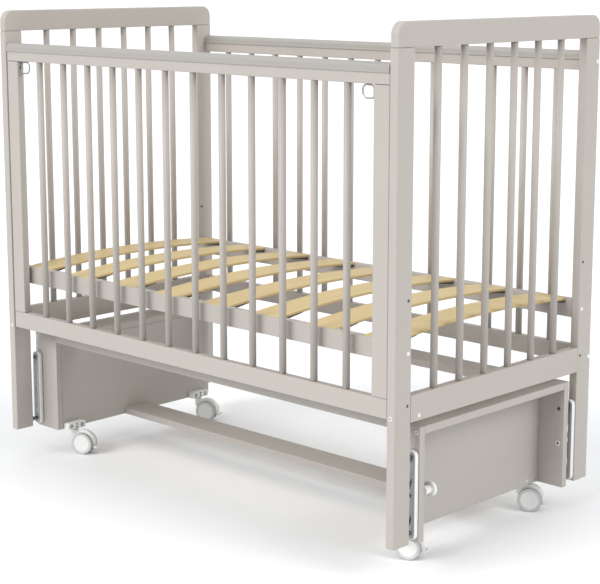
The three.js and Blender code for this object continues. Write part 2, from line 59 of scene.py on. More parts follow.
world = bpy.data.worlds.new("white room")
bpy.context.scene.world = world
world.use_nodes = True
room = world.node_tree
ambient = room.nodes["Background"]
ambient.inputs["Color"].default_value = (1, 1, 1, 1)
ambient.inputs["Strength"].default_value = 0.55
backdrop = room.nodes.new("ShaderNodeBackground")
backdrop.inputs["Color"].default_value = (1, 1, 1, 1)
seen = room.nodes.new("ShaderNodeLightPath")
bright = room.nodes.new("ShaderNodeMath")
bright.operation = "MAXIMUM"
either = room.nodes.new("ShaderNodeMixShader")
for output, socket in (
    (seen.outputs["Is Camera Ray"], bright.inputs[0]),
    (seen.outputs["Is Glossy Ray"], bright.inputs[1]),
    (bright.outputs[0], either.inputs[0]),
    (ambient.outputs[0], either.inputs[1]),
    (backdrop.outputs[0], either.inputs[2]),
    (either.outputs[0], room.nodes["World Output"].inputs["Surface"]),
):
    room.links.new(output, socket)


def lamp(name, direction, spread, power):
    """A distant white lamp that shines from a direction, with soft edges."""
    light = bpy.data.objects.new(name, bpy.data.lights.new(name, "SUN"))
    light.data.angle = math.radians(spread)
    light.data.energy = power
    light.rotation_euler = Vector(direction).to_track_quat("Z", "Y").to_euler()
    bpy.context.scene.collection.objects.link(light)


lamp("left lamp", (-0.35, -0.75, 0.56), 25, 1.04)
lamp("front lamp", (0.0, -0.85, 0.53), 25, 1.04)
lamp("end lamp", (0.8, 0.2, 0.57), 30, 1.28)
lamp("top lamp", (0.0, 0.0, 1.0), 50, 0.45)


# End posts: four upright battens of painted beech with eased edges. Two spare holes show
# the base's other levels, a blind hole takes the link's stud, and a groove in each front
# post guides the drop side.
class Reading:
    """A value in a finish. A sum on it adds a Math node to that finish."""

    def __init__(self, finish, socket):
        self.finish = finish
        self.socket = socket

    def __add__(self, other):
        return self.finish.sum("ADD", self, other)

    def __mul__(self, other):
        return self.finish.sum("MULTIPLY", self, other)


class Finish:
    """A material with one principled shader, and the nodes that vary it."""

    def __init__(self, name, constants):
        self.material = bpy.data.materials.new(name)
        self.material.use_nodes = True
        self.tree = self.material.node_tree
        self.shader = self.tree.nodes["Principled BSDF"]
        for socket, value in constants.items():
            self.shader.inputs[socket].default_value = value
        self.place = self.node("ShaderNodeTexCoord", result="Object")

    def feed(self, socket, value):
        if isinstance(value, Reading):
            self.tree.links.new(value.socket, socket)
        else:
            socket.default_value = value

    def node(self, kind, settings=None, sockets=None, result=0):
        made = self.tree.nodes.new(kind)
        for setting, value in (settings or {}).items():
            setattr(made, setting, value)
        for socket, value in (sockets or {}).items():
            self.feed(made.inputs[socket], value)
        return Reading(self, made.outputs[result])

    def sum(self, operation, *values):
        return self.node("ShaderNodeMath", {"operation": operation}, dict(enumerate(values)))

    def attribute(self, name):
        return self.node("ShaderNodeAttribute", {"attribute_name": name}, result="Fac")

    def noise(self, scale, detail, stretch=None, place=None):
        where = place or self.place
        if stretch:
            where = self.node("ShaderNodeMapping", {}, {"Vector": where, "Scale": stretch})
        sockets = {"Vector": where, "Scale": scale, "Detail": detail}
        return self.node("ShaderNodeTexNoise", {}, sockets)

    def between(self, share, first, second):
        """A mix of two colours, each three numbers or a reading."""
        ends = [end if isinstance(end, Reading) else (*end, 1) for end in (first, second)]
        sockets = {0: share, 6: ends[0], 7: ends[1]}
        return self.node("ShaderNodeMix", {"data_type": "RGBA"}, sockets, 2)

    def relief(self, height, distance, strength):
        sockets = {"Height": height, "Distance": distance, "Strength": strength}
        return self.node("ShaderNodeBump", {}, sockets)

    def done(self, colour, roughness, normal):
        readings = {"Base Color": colour, "Roughness": roughness, "Normal": normal}
        for socket, value in readings.items():
            self.feed(self.shader.inputs[socket], value)
        return self.material


def painted_wood(name, along):
    """Satin paint on beech: faint grain under the paint, which runs along one axis."""
    stretch = tuple(0.05 if axis == along else 1.0 for axis in "xyz")
    paint = Finish(name, {"IOR": 1.46})
    grain = paint.noise(260, 3, stretch)
    cloud = paint.noise(7, 2)
    orange_peel = paint.noise(1400, 1)
    light, dark = (0.445, 0.411, 0.379), (0.423, 0.390, 0.358)
    return paint.done(
        paint.between(grain * 0.25 + cloud * 0.75, dark, light),
        cloud * 0.10 + orange_peel * 0.05 + 0.40,
        paint.relief(grain * 0.7 + orange_peel * 0.3, 0.0001, 0.3),
    )


def new_object(name, mesh):
    made = bpy.data.objects.new(name, mesh)
    bpy.context.scene.collection.objects.link(made)
    return made


def settled(thing):
    """The thing's mesh with its modifiers applied; the thing itself is removed."""
    graph = bpy.context.evaluated_depsgraph_get()
    mesh = bpy.data.meshes.new_from_object(
        thing.evaluated_get(graph), preserve_all_data_layers=True, depsgraph=graph
    )
    bpy.data.objects.remove(thing)
    return mesh


def as_mesh(work, name):
    """The finished mesh of a bmesh, which is freed."""
    mesh = bpy.data.meshes.new(name)
    work.to_mesh(mesh)
    work.free()
    return mesh


def strips(work, lower, upper):
    """Faces between two rings of as many vertices. A ring of one vertex is a tip."""
    count = max(len(lower), len(upper))
    for k in range(count):
        n = (k + 1) % count
        outline = [
            lower[k % len(lower)],
            lower[n % len(lower)],
            upper[n % len(upper)],
            upper[k % len(upper)],
        ]
        work.faces.new(list(dict.fromkeys(outline)))


def prism(outline, axis, start, end):
    """A flat outline with thickness along one axis, as a mesh."""
    order = {"x": (2, 0, 1), "y": (0, 2, 1), "z": (0, 1, 2)}[axis]
    work = bmesh.new()
    rings = []
    for level in sorted((start, end)):
        points = [(across, up, level) for across, up in outline]
        rings.append([work.verts.new([point[k] for k in order]) for point in points])
    strips(work, *rings)
    work.faces.new(rings[0])
    work.faces.new(rings[1])
    bmesh.ops.recalc_face_normals(work, faces=work.faces)
    return as_mesh(work, "prism")


def block(first, last):
    """A box between two opposite corners."""
    spans = [sorted(pair) for pair in zip(first, last)]
    (left, right), (near, far), (bottom, top) = spans
    outline = [(left, near), (right, near), (right, far), (left, far)]
    return prism(outline, "z", bottom, top)


def eased(mesh, radius, steps=3, share=None):
    """The mesh with its sharp edges rounded over. share gives each its part of the radius."""
    sharp = math.radians(30)
    work = bmesh.new()
    work.from_mesh(mesh)
    weight = work.edges.layers.float.new("bevel_weight_edge")
    for edge in work.edges:
        if len(edge.link_faces) == 2 and edge.calc_face_angle() > sharp:
            middle = (edge.verts[0].co + edge.verts[1].co) / 2
            run = (edge.verts[0].co - edge.verts[1].co).normalized()
            edge[weight] = share(middle, run) if share else 1.0
    for face in work.faces:
        face.smooth = True
    thing = new_object("eased", as_mesh(work, "eased"))
    bevel = thing.modifiers.new("edges", "BEVEL")
    bevel.limit_method = "WEIGHT"
    bevel.width = radius
    bevel.segments = steps
    normals = thing.modifiers.new("normals", "WEIGHTED_NORMAL")
    normals.weight = 100
    return settled(thing)


def bored(mesh, *cutters):
    """The mesh with the cutters' shapes taken out of it."""
    thing = new_object("bored", mesh)
    tools = [new_object("cutter", cutter) for cutter in cutters]
    for tool in tools:
        cut = thing.modifiers.new("cut", "BOOLEAN")
        cut.object = tool
        cut.solver = "EXACT"
    result = settled(thing)
    for tool in tools:
        bpy.data.objects.remove(tool)
    return result


def arc(middle, radius, first, last, steps):
    """Points along an arc between two angles in degrees."""
    angles = [math.radians(first + (last - first) * k / steps) for k in range(steps + 1)]
    return [
        (middle[0] + radius * math.cos(angle), middle[1] + radius * math.sin(angle))
        for angle in angles
    ]


def circle(across, up, diameter, steps=24):
    return arc((across, up), diameter / 2, 0, 360, steps)[:-1]


def fit(name, mesh, finish, body, slot, *stands_for):
    """A finished piece, in its place on its body."""
    mesh.materials.clear()
    mesh.materials.append(finish)
    piece = new_object(name, mesh)
    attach(piece, body)
    if stands_for:
        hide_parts(*stands_for)


end_names = {"left": -1, "right": 1}
side_names = {"front": -1, "back": 1}
corners = [
    (f"{side}_{end}", end_side, long_side)
    for end, end_side in end_names.items()
    for side, long_side in side_names.items()
]
post_inner_x, post_inner_y, post_middle_y = 0.600, 0.282, 0.292
level_heights, level_hole = (0.351, 0.559), 0.007
link_x, link_hole = 0.606, 0.009
stud_height, stud_depth = 0.084, 0.0185
drop_y = -0.319
groove_half, groove_depth, groove_foot, groove_head = 0.0035, 0.006, 0.340, 0.963
past = 0.004  # how far a cutter starts outside the face that it cuts
upright_paint = painted_wood("greige paint, upright grain", "z")


def post_edges(middle, run):
    """The full radius on the long edges and the head, half of it at the foot."""
    return 0.5 if abs(run.z) < 0.5 and middle.z < 0.5 else 1.0


for corner, end_side, long_side in corners:
    node = "post_" + corner
    low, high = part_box(node)
    cutters = [
        prism(circle(long_side * post_middle_y, height, level_hole), "x", low.x - past, high.x + past)
        for height in level_heights
    ]
    cutters.append(
        prism(
            circle(end_side * link_x, stud_height, link_hole),
            "y",
            long_side * (post_inner_y - past),
            long_side * (post_inner_y + stud_depth),
        )
    )
    if long_side < 0:
        cutters.append(
            block(
                (end_side * (post_inner_x - past), drop_y - groove_half, groove_foot),
                (end_side * (post_inner_x + groove_depth), drop_y + groove_half, groove_head),
            )
        )
    batten = bored(eased(block(low, high), 0.0016, 3, post_edges), *cutters)
    fit(node + "_batten", batten, upright_paint, "crib", "painted_wood", node)


# End frames: a top board with round corners is doweled onto the posts, a bottom rail
# joins them, and six round bars are glued in between. All are painted beech.
def round_corners(left, right, bottom, top, radii, steps):
    """A rectangle whose corners, from the lower right one round, have the given radii."""
    turns = ((right, bottom, -90), (right, top, 0), (left, top, 90), (left, bottom, 180))
    points = []
    for (x, y, start), radius in zip(turns, radii):
        if radius == 0:
            points.append((x, y))
            continue
        centre_x = x - radius if x == right else x + radius
        centre_y = y - radius if y == top else y + radius
        points += arc((centre_x, centre_y), radius, start, start + 90, steps)
    return points


class Pattern:
    """A Geometry Nodes tree with named inputs, which repeats a shape."""

    def __init__(self, name, inputs):
        self.tree = bpy.data.node_groups.new(name, "GeometryNodeTree")
        self.declare("Geometry", "Geometry", "OUTPUT")
        self.declare("Geometry", "Geometry", "INPUT")
        for label, kind in inputs.items():
            self.declare(label, kind, "INPUT")
        self.given = self.tree.nodes.new("NodeGroupInput").outputs

    def declare(self, label, kind, way):
        self.tree.interface.new_socket(label, in_out=way, socket_type="NodeSocket" + kind)

    def node(self, kind, settings=None, sockets=None):
        """A node's outputs, given its settings and its sockets' values or links."""
        made = self.tree.nodes.new(kind)
        for setting, value in (settings or {}).items():
            setattr(made, setting, value)
        for socket, value in (sockets or {}).items():
            if isinstance(value, bpy.types.NodeSocket):
                self.tree.links.new(value, made.inputs[socket])
            else:
                made.inputs[socket].default_value = value
        return made.outputs

    def maths(self, operation, *values):
        return self.node("ShaderNodeMath", {"operation": operation}, dict(enumerate(values)))[0]

    def vector(self, sockets):
        return self.node("ShaderNodeCombineXYZ", {}, sockets)[0]

    def finish(self, instances):
        """Makes the instances real, gives them the finish and ends the tree."""
        solid = self.node("GeometryNodeRealizeInstances", {}, {"Geometry": instances})
        sockets = {"Geometry": solid[0], "Material": self.given["Finish"]}
        painted = self.node("GeometryNodeSetMaterial", {}, sockets)
        self.tree.links.new(painted[0], self.tree.nodes.new("NodeGroupOutput").inputs[0])

    def mesh(self, values, start=None):
        """The plain mesh that the tree makes with these values."""
        thing = new_object("grown", start or bpy.data.meshes.new("grown"))
        modifier = thing.modifiers.new("tree", "NODES")
        modifier.node_group = self.tree
        for item in self.tree.interface.items_tree:
            if item.in_out == "INPUT" and item.name in values:
                modifier[item.identifier] = values[item.name]
        return settled(thing)


bar_row = Pattern(
    "row of round bars",
    {
        "Bars": "Int",
        "First foot": "Vector",
        "Step": "Vector",
        "Diameter": "Float",
        "Length": "Float",
        "Finish": "Material",
    },
)
given = bar_row.given
feet = bar_row.node(
    "GeometryNodeMeshLine",
    {},
    {"Count": given["Bars"], "Start Location": given["First foot"], "Offset": given["Step"]},
)
radius = bar_row.maths("MULTIPLY", given["Diameter"], 0.5)
dowel = bar_row.node(
    "GeometryNodeMeshCylinder",
    {},
    {"Vertices": 40, "Radius": radius, "Depth": given["Length"]},
)
smooth = bar_row.node(
    "GeometryNodeSetShadeSmooth", {}, {"Geometry": dowel["Mesh"], "Selection": dowel["Side"]}
)
lift = bar_row.vector({"Z": bar_row.maths("MULTIPLY", given["Length"], 0.5)})
raised = bar_row.node("GeometryNodeTransform", {}, {"Geometry": smooth[0], "Translation": lift})
copies = bar_row.node("GeometryNodeInstanceOnPoints", {}, {"Points": feet[0], "Instance": raised[0]})
bar_row.finish(copies[0])

bar_paint = painted_wood("greige paint, bars", "z")
cross_paint = painted_wood("greige paint, grain across the bed", "y")
bar_diameter, tenon = 0.015, 0.012
end_bars, end_board_height, end_rail_height = 6, 0.0485, 0.055
end_rail_half, board_corner = 0.2817, 0.025


def fit_bars(node, body, count, first_foot, step, clear):
    """A row of bars on a body, whose tenons run into the rails past the clear length."""
    values = {
        "Bars": count,
        "First foot": first_foot,
        "Step": step,
        "Diameter": bar_diameter,
        "Length": clear + tenon * 2,
        "Finish": bar_paint,
    }
    fit(node + "_bars", bar_row.mesh(values), bar_paint, body, "painted_wood")


def cross_edges(middle, run):
    return 1.0 if abs(run.y) > 0.5 else 0.2


for end in end_names:
    node = f"end_frame_{end}"
    low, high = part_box(node)
    board_low = high.z - end_board_height
    rail_top = low.z + end_rail_height

    def board_edges(middle, run):
        return 0.6 if middle.z < board_low + 0.001 else 1.0

    radii = (0, board_corner, board_corner, 0)
    outline = round_corners(low.y, high.y, board_low, high.z, radii, 12)
    board = eased(prism(outline, "x", low.x, high.x), 0.0028, 3, board_edges)
    fit(node + "_top_board", board, cross_paint, "crib", "painted_wood", node)
    rail = block((low.x, -end_rail_half, low.z), (high.x, end_rail_half, rail_top))
    fit(node + "_rail", eased(rail, 0.002, 3, cross_edges), cross_paint, "crib", "painted_wood")
    pitch = 2 * post_inner_y / (end_bars + 1)
    first_foot = ((low.x + high.x) / 2, -(end_bars - 1) / 2 * pitch, rail_top - tenon)
    fit_bars(node, "crib", end_bars, first_foot, (0, pitch, 0), board_low - rail_top)

# Long sides: an upper and a lower rail with round bars glued between them. The back one
# is bolted to the posts. The front one drops: it is shorter, and a stile at each end,
# set between the rails, holds its latch and guide pin.
along_paint = painted_wood("greige paint, grain along the bed", "x")
rail_height, rail_edge, hidden_edge = 0.040, 0.0022, 0.008
side_facts = {"back_side": ("crib", 13, 0.0866), "drop_side": ("drop_side", 12, 0.088)}


def rail_edges(middle, run):
    return 1.0 if abs(run.x) > 0.5 or abs(run.z) > 0.5 else 0.3


for node, (body, bars, pitch) in side_facts.items():
    low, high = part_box(node)

    def covered_edges(middle, run):
        """The full radius on the top edges, which the cover hides."""
        if abs(run.x) > 0.5 and middle.z > high.z - 0.001:
            return 1.0
        return rail_edges(middle, run) * rail_edge / hidden_edge

    lower = block(low, (high.x, high.y, low.z + rail_height))
    lower = eased(lower, rail_edge, 3, rail_edges)
    upper = block((low.x, low.y, high.z - rail_height), high)
    upper = eased(upper, hidden_edge, 6, covered_edges)
    fit(node + "_lower_rail", lower, along_paint, body, "painted_wood", node)
    fit(node + "_upper_rail", upper, along_paint, body, "painted_wood")
    foot = low.z + rail_height - tenon
    first_foot = (-(bars - 1) / 2 * pitch, (low.y + high.y) / 2, foot)
    clear = high.z - low.z - rail_height * 2
    fit_bars(node, body, bars, first_foot, (pitch, 0, 0), clear)

low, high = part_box("drop_side")
stile_outer, stile_inner, stile_seam = 0.598, 0.558, 0.0006
latch_height, latch_hole = 0.956, 0.005


def stile_edges(middle, run):
    """Little at the ends, the full radius on the outer edges, less on the inner ones."""
    if abs(run.z) < 0.5:
        return 0.35
    return 1.0 if abs(middle.x) > 0.59 else 0.7


for end, end_side in end_names.items():
    stile = block(
        (end_side * stile_outer, low.y, low.z + rail_height + stile_seam),
        (end_side * stile_inner, high.y, high.z - rail_height - stile_seam),
    )
    latch_bore = prism(
        circle(drop_y, latch_height, latch_hole),
        "x",
        end_side * (stile_inner - past),
        end_side * (stile_outer + past),
    )
    stile = bored(eased(stile, rail_edge, 3, stile_edges), latch_bore)
    fit(f"drop_side_stile_{end}", stile, upright_paint, "drop_side", "painted_wood")


# Rail covers: an extruded strip of grey plastic snapped over each upper rail, so that a
# child can bite it. Its top corners are round, and a small bead runs along each lower lip.
def moulded_plastic(name, light, dark, roughness):
    plastic = Finish(name, {"IOR": 1.49})
    cloud = plastic.noise(12, 2)
    pits = plastic.noise(2200, 1)
    return plastic.done(
        plastic.between(cloud, dark, light),
        cloud * 0.08 + pits * 0.06 + roughness,
        plastic.relief(pits, 0.0001, 0.4),
    )


cover_plastic = moulded_plastic(
    "grey cover plastic", (0.352, 0.337, 0.314), (0.334, 0.320, 0.297), 0.42
)
cover_wall, cover_corner = 0.0017, 0.010
bead = [(0, 0), (0.0007, 0.0008), (0.0007, 0.0026), (0, 0.0036)]
for node, body in (("back_side_cap", "crib"), ("drop_side_cap", "drop_side")):
    low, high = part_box(node)
    section = [(high.y + out, low.z + up) for out, up in bead]
    radii = (0, cover_corner, cover_corner, 0)
    section += round_corners(low.y, high.y, low.z, high.z, radii, 12)[1:-1]
    section += [(low.y - out, low.z + up) for out, up in bead[::-1]]
    left, right, top = low.y + cover_wall, high.y - cover_wall, high.z - cover_wall
    radii = (0, cover_corner - cover_wall, cover_corner - cover_wall, 0)
    section += round_corners(left, right, low.z, top, radii, 12)[::-1]
    strip = eased(prism(section, "x", low.x, high.x), 0.0003, 2)
    fit(node + "_strip", strip, cover_plastic, body, "cover_plastic", node)


# Latches: a ring of zinc-plated wire to pull, on a pin that runs through the stile into
# the post. The wire clip on the stile's inner edge is a guess at what holds the spring.
# Lower down, a guide pin runs in the post's groove.
def plated_steel(name, light, dark, roughness):
    steel = Finish(name, {"Metallic": 1.0})
    drawn = steel.noise(900, 3, (0.08, 1.0, 1.0))
    spots = steel.noise(160, 2)
    return steel.done(
        steel.between(spots, dark, light),
        drawn * 0.16 + roughness,
        steel.relief(drawn, 0.00008, 0.3),
    )


def wire(paths, diameter, closed):
    """Round wire along each path, with its ends closed."""
    curve = bpy.data.curves.new("wire", "CURVE")
    curve.dimensions = "3D"
    curve.bevel_depth = diameter / 2
    curve.bevel_resolution = 3
    curve.use_fill_caps = True
    for path, loop in zip(paths, closed):
        spline = curve.splines.new("POLY")
        spline.points.add(len(path) - 1)
        for point, place in zip(spline.points, path):
            point.co = (*place, 1)
        spline.use_cyclic_u = loop
        spline.use_smooth = True
    return settled(new_object("wire", curve))


zinc = plated_steel("zinc-plated wire", (0.42, 0.42, 0.41), (0.33, 0.33, 0.32), 0.30)
ring_inner, ring_outer, ring_half, ring_wire = 0.523, 0.552, 0.0128, 0.0036
pin_tip = 0.6055
clip_gap, clip_half, clip_foot, clip_head, clip_wire = 0.0012, 0.0052, 0.938, 0.969, 0.0024
guide_height, guide_start, guide_diameter = 0.537, 0.580, 0.006
for end, end_side in end_names.items():
    node = f"latch_{end}"
    by_stile, away = (0.007, 0.009), (0.012, 0.010)
    radii = (*by_stile, *away[::-1]) if end_side > 0 else (*away, *by_stile[::-1])
    left, right = sorted((end_side * ring_inner, end_side * ring_outer))
    ring = round_corners(left, right, latch_height - ring_half, latch_height + ring_half, radii, 8)
    ring = [(x, drop_y, z) for x, z in ring]
    pin = [(end_side * x, drop_y, latch_height) for x in (ring_outer, pin_tip)]
    fit(node + "_wire", wire([ring, pin], ring_wire, [True, False]), zinc, node, "zinc_steel", node)
    clip_x = end_side * (stile_inner - clip_gap)
    clip = round_corners(drop_y - clip_half, drop_y + clip_half, clip_foot, clip_head, (0.005,) * 4, 6)
    clip = [(clip_x, y, z) for y, z in clip]
    fit(f"latch_clip_{end}", wire([clip], clip_wire, [True]), zinc, "drop_side", "zinc_steel")
    outline = circle(drop_y, guide_height, guide_diameter)
    guide_pin = eased(prism(outline, "x", end_side * guide_start, end_side * pin_tip), 0.0006)
    node = f"guide_pin_{end}"
    fit(node + "_rod", guide_pin, zinc, "drop_side", "zinc_steel", node)

# Base rails: two battens with a pocket for each slat's end, bolted through the posts at
# one of three levels. Painted like the rest.
slat_count, slat_pitch, slat_width = 8, 0.1556, 0.078
slat_places = [(k - (slat_count - 1) / 2) * slat_pitch for k in range(slat_count)]
pocket_half, pocket_end = slat_width / 2 + 0.0003, 0.2973
pocket_foot, pocket_head = 0.4687, 0.479
for side, long_side in side_names.items():
    node = f"bed_rail_{side}"
    low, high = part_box(node)
    pockets = [
        block(
            (x - pocket_half, long_side * (post_inner_y - past), pocket_foot),
            (x + pocket_half, long_side * pocket_end, pocket_head),
        )
        for x in slat_places
    ]
    rail = bored(eased(block(low, high), 0.002, 3, rail_edges), *pockets)
    fit(node + "_batten", rail, along_paint, "crib", "painted_wood", node)

# Slats: eight bowed strips of pressed birch veneer, clear-coated, sprung into the rails'
# pockets. The veneers show as lines along the edges, and the long edges are eased.
birch = Finish("clear-coated birch", {"IOR": 1.45, "Coat Weight": 0.05, "Coat Roughness": 0.35})
apart = birch.node("ShaderNodeCombineXYZ", {}, {"Z": birch.attribute("strip") * 3.7})
own = birch.node("ShaderNodeVectorMath", {"operation": "ADD"}, {0: birch.place, 1: apart})
figure = birch.noise(55, 4, (1.0, 0.06, 0.3), own)
fibre = birch.noise(700, 2, (1.0, 0.03, 1.0), own)
tone = birch.noise(1.3, 1, (1.0, 1.0, 1.0), own)
veneer = birch.sum("WRAP", birch.attribute("depth") * 3.0, 1.0, 0.0)
veneer = birch.sum("GREATER_THAN", veneer, 0.62)
streaks = figure * 0.6 + fibre * 0.25 + tone * 0.35
wood = birch.between(streaks, (0.462, 0.325, 0.130), (0.668, 0.532, 0.275))
birch_material = birch.done(
    birch.between(veneer * 0.55, wood, (0.42, 0.27, 0.11)),
    fibre * 0.15 + 0.42,
    birch.relief(fibre * 0.6 + figure * 0.4, 0.0002, 0.35),
)

slat_row = Pattern(
    "row of bowed slats",
    {
        "Slats": "Int",
        "Pitch": "Float",
        "Width": "Float",
        "Half span": "Float",
        "End height": "Float",
        "Crown": "Float",
        "Thickness": "Float",
        "Finish": "Material",
    },
)
given = slat_row.given
maths = slat_row.maths
blank = slat_row.node(
    "GeometryNodeMeshCube",
    {},
    {"Size": (1, 1, 1), "Vertices X": 7, "Vertices Y": 49, "Vertices Z": 4},
)
position = slat_row.node("GeometryNodeInputPosition")[0]
unit = slat_row.node("ShaderNodeSeparateXYZ", {}, {0: position})
share_y = maths("MULTIPLY", unit["Y"], 2.0)
drop = maths("MULTIPLY", maths("MULTIPLY", share_y, share_y), given["Crown"])
depth_share = maths("SUBTRACT", 0.5, unit["Z"])
corner_x = maths("GREATER_THAN", maths("ABSOLUTE", unit["X"]), 0.49)
corner_z = maths("GREATER_THAN", maths("ABSOLUTE", unit["Z"]), 0.49)
tuck = maths("MULTIPLY", maths("MULTIPLY", corner_x, corner_z), 0.0012)
tuck = maths("MULTIPLY", tuck, maths("SIGN", unit["X"]))
place_x = maths("SUBTRACT", maths("MULTIPLY", unit["X"], given["Width"]), tuck)
place_y = maths("MULTIPLY", share_y, given["Half span"])
top = maths("SUBTRACT", maths("ADD", given["End height"], given["Crown"]), drop)
place_z = maths("SUBTRACT", top, maths("MULTIPLY", depth_share, given["Thickness"]))
layered = slat_row.node(
    "GeometryNodeStoreNamedAttribute",
    {"data_type": "FLOAT", "domain": "POINT"},
    {"Geometry": blank["Mesh"], "Name": "depth", "Value": depth_share},
)
bowed_place = slat_row.vector({"X": place_x, "Y": place_y, "Z": place_z})
bowed = slat_row.node(
    "GeometryNodeSetPosition", {}, {"Geometry": layered[0], "Position": bowed_place}
)
half_pitch = maths("MULTIPLY", given["Pitch"], 0.5)
first = maths("MULTIPLY", maths("SUBTRACT", 1.0, given["Slats"]), half_pitch)
middles = slat_row.node(
    "GeometryNodeMeshLine",
    {},
    {
        "Count": given["Slats"],
        "Start Location": slat_row.vector({"X": first}),
        "Offset": slat_row.vector({"X": given["Pitch"]}),
    },
)
laid = slat_row.node("GeometryNodeInstanceOnPoints", {}, {"Points": middles[0], "Instance": bowed[0]})
number = slat_row.node("GeometryNodeInputIndex")[0]
numbered = slat_row.node(
    "GeometryNodeStoreNamedAttribute",
    {"data_type": "FLOAT", "domain": "INSTANCE"},
    {"Geometry": laid[0], "Name": "strip", "Value": number},
)
slat_row.finish(numbered[0])
half_span, slat_end, slat_crown, slat_thick = 0.2968, 0.475, 0.014, 0.006
values = {
    "Slats": slat_count,
    "Pitch": slat_pitch,
    "Width": slat_width,
    "Half span": half_span,
    "End height": slat_end,
    "Crown": slat_crown,
    "Thickness": slat_thick,
    "Finish": birch_material,
}
slat_nodes = [f"slat_{k + 1}" for k in range(slat_count)]
fit("slats", slat_row.mesh(values), birch_material, "crib", "birch", *slat_nodes)


# Slat shoes: a black plastic wedge under each end of each slat. The photograph shows a
# dark line there, which may be only a shadow, so the shoes are a guess.
def united(*meshes):
    """Several meshes as one."""
    work = bmesh.new()
    for mesh in meshes:
        work.from_mesh(mesh)
    return as_mesh(work, "united")


# Black, for the slat shoes, and for the painted shade at the foot of the castor sockets' recesses.
black_plastic_and_shade = moulded_plastic("black plastic", (0.050, 0.048, 0.045), (0.036, 0.034, 0.032), 0.50)
shoe_start, shoe_length, shoe_steps = 0.2817, 0.060, 6
shoe_depth, shoe_tip, shoe_gap = 0.0050, 0.0012, 0.0002
shoe_half = slat_width / 2 - 0.001
shoes = []
for x in slat_places:
    for long_side in side_names.values():
        upper, lower = [], []
        for k in range(shoe_steps + 1):
            y = shoe_start - shoe_length * k / shoe_steps
            z = slat_end + slat_crown * (1 - (y / half_span) ** 2) - slat_thick - shoe_gap
            depth = shoe_depth - (shoe_depth - shoe_tip) * k / shoe_steps
            upper.append((long_side * y, z))
            lower.append((long_side * y, z - depth))
        wedge = prism(upper + lower[::-1], "x", x - shoe_half, x + shoe_half)
        shoes.append(eased(wedge, 0.0004, 1))
fit("slat_shoes", united(*shoes), black_plastic_and_shade, "crib", "cover_plastic")

# Stand: an open box of coated board at each end, tied by two upper rails and a
# stretcher. The boards are plain-sawn with banded edges, in the crib's own colour.
board_coat = Finish("greige coated board", {"IOR": 1.46})
pores = board_coat.noise(1500, 2)
cloud = board_coat.noise(5, 2)
coat = board_coat.done(
    board_coat.between(cloud * 0.8 + pores * 0.2, (0.411, 0.382, 0.354), (0.428, 0.399, 0.370)),
    pores * 0.10 + cloud * 0.06 + 0.44,
    board_coat.relief(pores, 0.0001, 0.3),
)
pivot_height, lock_height = 0.239, 0.161
board_edge = 0.0011
for corner, end_side, long_side in corners:
    node = "stand_board_" + corner
    low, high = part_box(node)
    holes = [
        prism(circle(end_side * link_x, height, link_hole), "y", low.y - past, high.y + past)
        for height in (pivot_height, lock_height)
    ]
    board = bored(eased(block(low, high), board_edge, 2), *holes)
    fit(node + "_panel", board, coat, "stand", "painted_wood", node)
for part in (
    "panel_left",
    "panel_right",
    "top_left",
    "top_right",
    "rail_front",
    "rail_back",
    "stretcher",
):
    node = "stand_" + part
    board = eased(block(*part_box(node)), board_edge, 2)
    fit(node + "_board", board, coat, "stand", "painted_wood", node)

# Links: four pans pressed from steel sheet and coated white, each with a rolled rim, and
# with two round holes and two pointed openings in its web. A riveted stud at the foot
# carries the crib's leg, and a bolt at the top holds the pan to the stand.
white_coat = Finish("white coated steel", {"IOR": 1.5})
ripple = white_coat.noise(420, 2)
haze = white_coat.noise(18, 2)
rim_white = white_coat.between(haze, (0.760, 0.765, 0.760), (0.820, 0.822, 0.812))
# The flat web is painted mid grey, darker than the rim: partly a greyer web, partly painted shade for
# the shade it sits in between post and stand board.
white_steel = white_coat.done(
    white_coat.between(white_coat.attribute("web"), rim_white, (0.42, 0.43, 0.43)),
    haze * 0.1 + 0.30,
    white_coat.relief(ripple, 0.00012, 0.4),
)


def pan(x, web):
    """A link's pressed pan, with its web at one depth and its mouth open to the back."""
    half, corner, wall, mouth = 0.013, 0.011, 0.002, web + 0.0099
    bend, lip, fillet = 0.0022, 0.0004, 0.001
    profile = []
    for angle in [math.radians(90 * k / 6) for k in range(7)]:
        profile.append((bend * (1 - math.sin(angle)), web + bend * (1 - math.cos(angle))))
    profile += [(0, mouth - lip), (lip, mouth), (wall - lip, mouth), (wall, mouth - lip)]
    for angle in [math.radians(90 * k / 4) for k in range(5)]:
        inset = wall + fillet * (1 - math.cos(angle))
        profile.append((inset, web + wall + fillet * (1 - math.sin(angle))))
    work = bmesh.new()
    rings = []
    for inset, y in profile:
        left, right = x - half + inset, x + half - inset
        radii = (max(corner - inset, 0.002),) * 4
        outline = round_corners(left, right, link_foot + inset, link_head - inset, radii, 8)
        rings.append([work.verts.new((a, y, b)) for a, b in outline])
    for lower, upper in zip(rings, rings[1:]):
        strips(work, lower, upper)
    work.faces.new(rings[0])
    work.faces.new(rings[-1])
    bmesh.ops.recalc_face_normals(work, faces=work.faces)
    for face in work.faces:
        face.smooth = True
    return as_mesh(work, "pan")


def almond(across, up, length, width, lean):
    """A pointed oval outline, leaning by an angle."""
    steps = 10
    bulge = (length**2 / 4 + width**2 / 4) / width
    reach = math.asin(length / 2 / bulge)
    cos, sin = math.cos(lean), math.sin(lean)
    points = []
    for side in (1, -1):
        for k in range(steps):
            angle = side * (-reach + 2 * reach * k / steps)
            a = side * (bulge * math.cos(angle) - bulge + width / 2)
            b = bulge * math.sin(angle)
            points.append((across + a * cos - b * sin, up + a * sin + b * cos))
    return points


